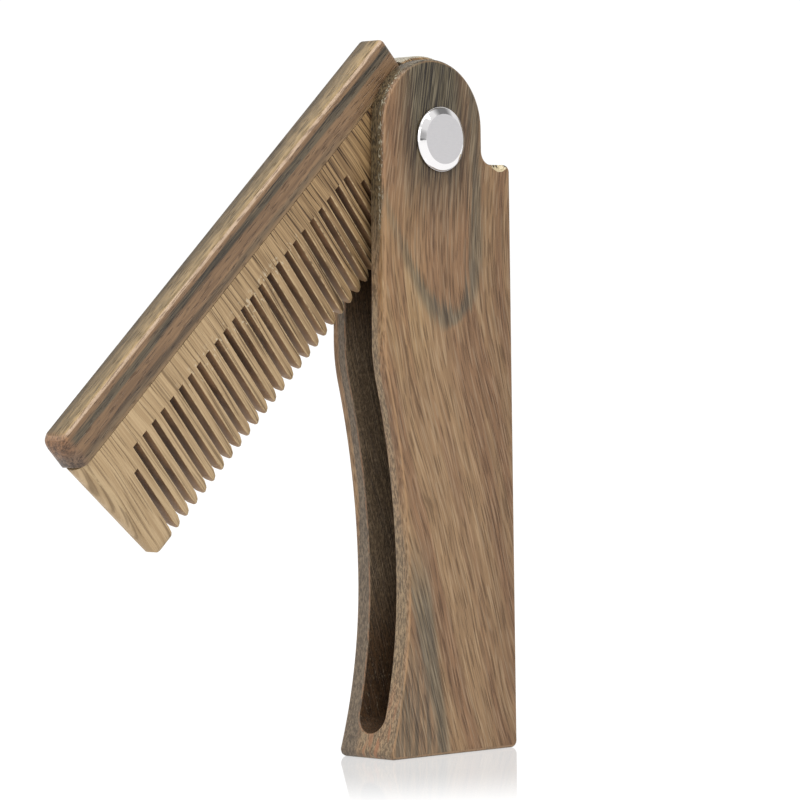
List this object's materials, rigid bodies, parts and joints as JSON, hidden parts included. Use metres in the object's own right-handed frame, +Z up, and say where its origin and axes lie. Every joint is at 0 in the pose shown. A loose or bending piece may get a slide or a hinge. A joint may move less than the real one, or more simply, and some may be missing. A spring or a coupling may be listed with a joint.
{
  "type": "folding comb",
  "caption": "Wooden pocket comb that swings on a metal rivet out of a slotted wooden handle, standing partly open on the end of its handle.",
  "frame": {"origin": "on the flat lower end of the handle, straight below the rivet's axis and halfway between the two wide faces", "axes": "+Z up along the handle, +X to the handle's straight side, away from the opened comb, Y across the handle's thickness along the rivet's axis, with the front at -Y"},
  "size_m": [0.0897, 0.0144, 0.113],
  "materials": {
    "handle_wood": "smooth sanded and waxed brown wood with grey-green figure",
    "spine_wood": "smooth sanded and waxed brown wood, grain along the length",
    "tooth_wood": "smooth sanded light tan wood, grain along the teeth",
    "rivet_steel": "satin face with a polished chamfer"
  },
  "bodies": {
    "handle": {"handle": "handle_wood", "pivot_rivet": "rivet_steel"},
    "comb": {"comb_spine": "spine_wood", "tooth_plate": "tooth_wood"}
  },
  "joints": [
    {"name": "comb_fold", "type": "hinge", "parent": "handle", "child": "comb", "pos_m": [0, 0, 0.0974], "axis": [0, 1, 0], "range_deg": [-47, 129]}
  ]
}
